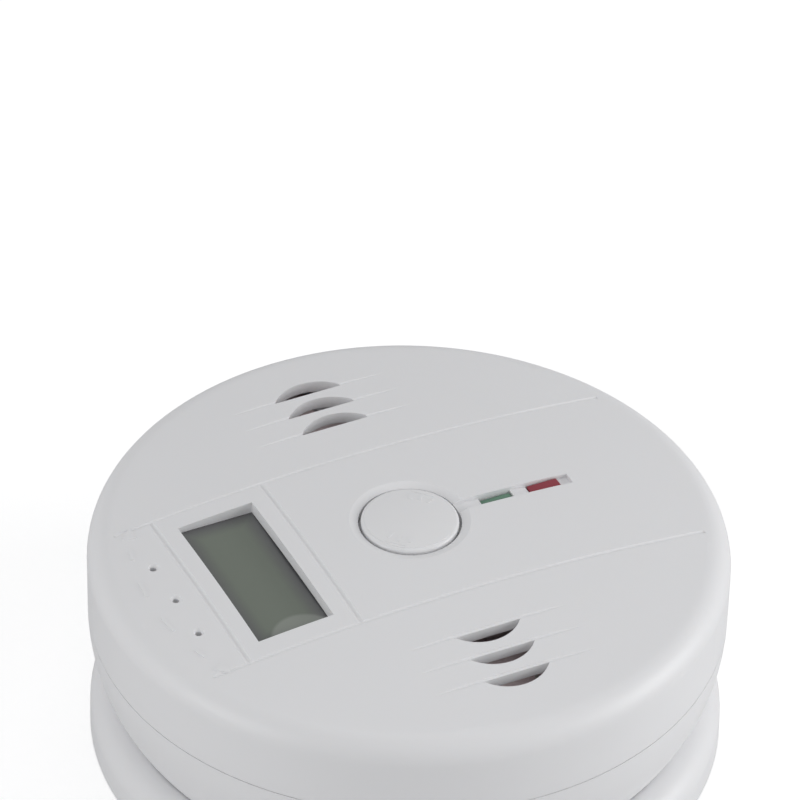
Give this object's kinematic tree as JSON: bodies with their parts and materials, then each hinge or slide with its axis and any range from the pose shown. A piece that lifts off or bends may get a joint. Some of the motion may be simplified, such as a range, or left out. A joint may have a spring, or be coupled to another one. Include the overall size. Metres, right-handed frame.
{
  "type": "carbon monoxide alarm",
  "caption": "Round domed wall alarm with a display window, a sprung test button, slotted vents, battery bay and a twist-off mounting plate.",
  "frame": {"origin": "centre of the mounting plate's back face, at the base of the alarm", "axes": "+Z out of the wall through the test button, +Y along the face from the display to the lights, +X to the right"},
  "size_m": [0.1, 0.1, 0.0405],
  "materials": {
    "case_white": "satin white ABS with a very fine texture",
    "button_white": "satin white ABS",
    "screw_steel": "zinc plated",
    "board": "brown printed circuit board with solder mask",
    "display_glass": "dark grey-green display under a smooth film",
    "diffuser": "milky light guide",
    "green_lens": "tinted epoxy",
    "red_lens": "tinted epoxy",
    "tinned_metal": "tinned",
    "spring_steel": "nickel plated wire",
    "black_plastic": "moulded black",
    "sensor_metal": "drawn can",
    "filter_white": "porous membrane",
    "brass_disc": "plain",
    "capacitor_sleeve": "shrunk sleeve",
    "resistor_tan": "lacquered, with colour bands",
    "coil_ferrite": "ferrite and copper wire",
    "cell_sleeve": "printed metal can",
    "red_insulation": "PVC",
    "black_insulation": "PVC"
  },
  "bodies": {
    "bracket": {"mounting_plate": "case_white"},
    "alarm": {"rear_housing": "case_white", "front_cover": "case_white", "case_screws": "screw_steel", "circuit_board": "board", "board_screws": "screw_steel", "lcd_glass": "display_glass", "lcd_backlight": "diffuser", "lcd_pins": "tinned_metal", "green_led": "green_lens", "red_led": "red_lens", "led_legs": "tinned_metal", "button_spring": "spring_steel", "switch_body": "black_plastic", "switch_legs": "tinned_metal", "sensor_can": "sensor_metal", "sensor_filter": "filter_white", "sensor_pins": "tinned_metal", "sounder_case": "black_plastic", "sounder_disc": "brass_disc", "sounder_pins": "tinned_metal", "controller_chip": "black_plastic", "controller_legs": "tinned_metal", "amplifier_chip": "black_plastic", "amplifier_legs": "tinned_metal", "front_capacitor": "black_plastic", "rear_capacitors": "capacitor_sleeve", "resistors": "resistor_tan", "transistors": "black_plastic", "boost_coil": "coil_ferrite", "clock_crystal": "sensor_metal", "battery_cell_left": "cell_sleeve", "battery_cell_middle": "cell_sleeve", "battery_cell_right": "cell_sleeve", "contact_plates": "spring_steel", "contact_springs": "spring_steel", "red_wire": "red_insulation", "black_wire": "black_insulation"},
    "button": {"test_button": "button_white"},
    "plunger": {"switch_plunger": "black_plastic"}
  },
  "joints": [
    {"name": "plate_twist", "type": "hinge", "parent": "bracket", "child": "alarm", "pos_m": [0, 0, 0.0086], "axis": [0, 0, 1], "range_deg": [0, 15]},
    {"name": "button_press", "type": "slide", "parent": "alarm", "child": "button", "axis": [0, 0, -1], "range_m": [0, 0.001], "stiffness_N_per_m": 600, "springref_m": -0.001, "deforming": ["button_spring"]},
    {"name": "plunger_press", "type": "slide", "parent": "alarm", "child": "plunger", "axis": [0, 0, -1], "range_m": [0, 0.0003]}
  ],
  "couplings": [
    {"joint": "plunger_press", "follows": "button_press", "ratio": 0.3}
  ]
}
